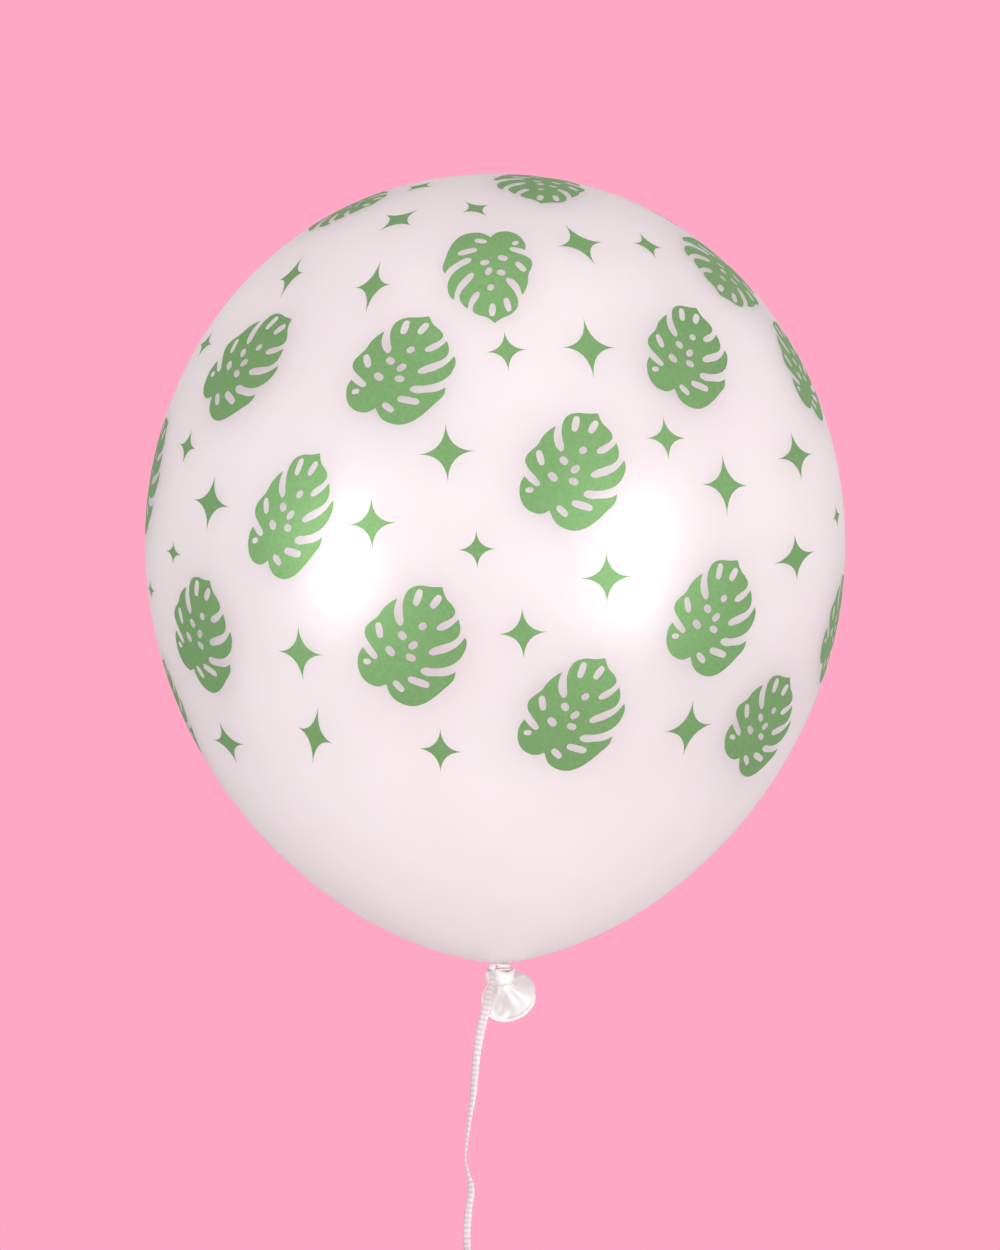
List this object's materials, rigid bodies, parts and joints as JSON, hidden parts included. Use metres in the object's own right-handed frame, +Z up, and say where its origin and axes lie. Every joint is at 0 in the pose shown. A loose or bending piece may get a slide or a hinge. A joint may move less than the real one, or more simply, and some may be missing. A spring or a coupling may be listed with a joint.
{
  "type": "latex balloon",
  "caption": "Inflated latex party balloon with an all-over leaf and sparkle print, a knotted neck with a flared rolled lip, and a flat curling ribbon tied round the neck.",
  "frame": {"origin": "middle of the neck, where the ribbon is tied round it", "axes": "+Z up from the neck to the crown, -Y out of the printed front, +X to the right of that front"},
  "size_m": [0.3001, 0.3004, 0.555],
  "materials": {
    "pearl_latex": "satin pearl, dip-moulded",
    "gathered_latex": "satin pearl, creased",
    "lip_latex": "satin, rolled bead",
    "green_ink": "screen-printed elastic ink",
    "crimped_ribbon": "crimped polypropylene"
  },
  "bodies": {
    "balloon": {"envelope": "pearl_latex", "neck": "gathered_latex", "knot": "gathered_latex", "leaf_prints_front": "green_ink", "leaf_prints_back": "green_ink", "leaf_prints_sides": "green_ink", "sparkle_prints_front": "green_ink", "sparkle_prints_back": "green_ink", "sparkle_prints_sides": "green_ink"},
    "mouth": {"neck_tail": "gathered_latex", "rolled_lip": "lip_latex"},
    "ribbon_collar": {"ribbon_loop": "crimped_ribbon", "ribbon_knot": "crimped_ribbon"},
    "ribbon": {"ribbon_drop": "crimped_ribbon", "ribbon_coil": "crimped_ribbon", "coil_tie": "crimped_ribbon"}
  },
  "joints": [
    {"name": "ribbon_turn", "type": "hinge", "parent": "balloon", "child": "ribbon_collar", "pos_m": [0, 0, 0], "axis": [0, 0, 1], "range_deg": [-35, 75]},
    {"name": "ribbon_swing", "type": "hinge", "parent": "ribbon_collar", "child": "ribbon", "pos_m": [-0.0036, -0.0063, -0.002], "axis": [-0.866, 0.5, 0], "range_deg": [0, 80]},
    {"name": "mouth_flex", "type": "hinge", "parent": "balloon", "child": "mouth", "pos_m": [0, 0, -0.0048], "axis": [0.9511, -0.309, 0], "range_deg": [-30, 15], "stiffness_Nm_per_rad": 0.002}
  ]
}
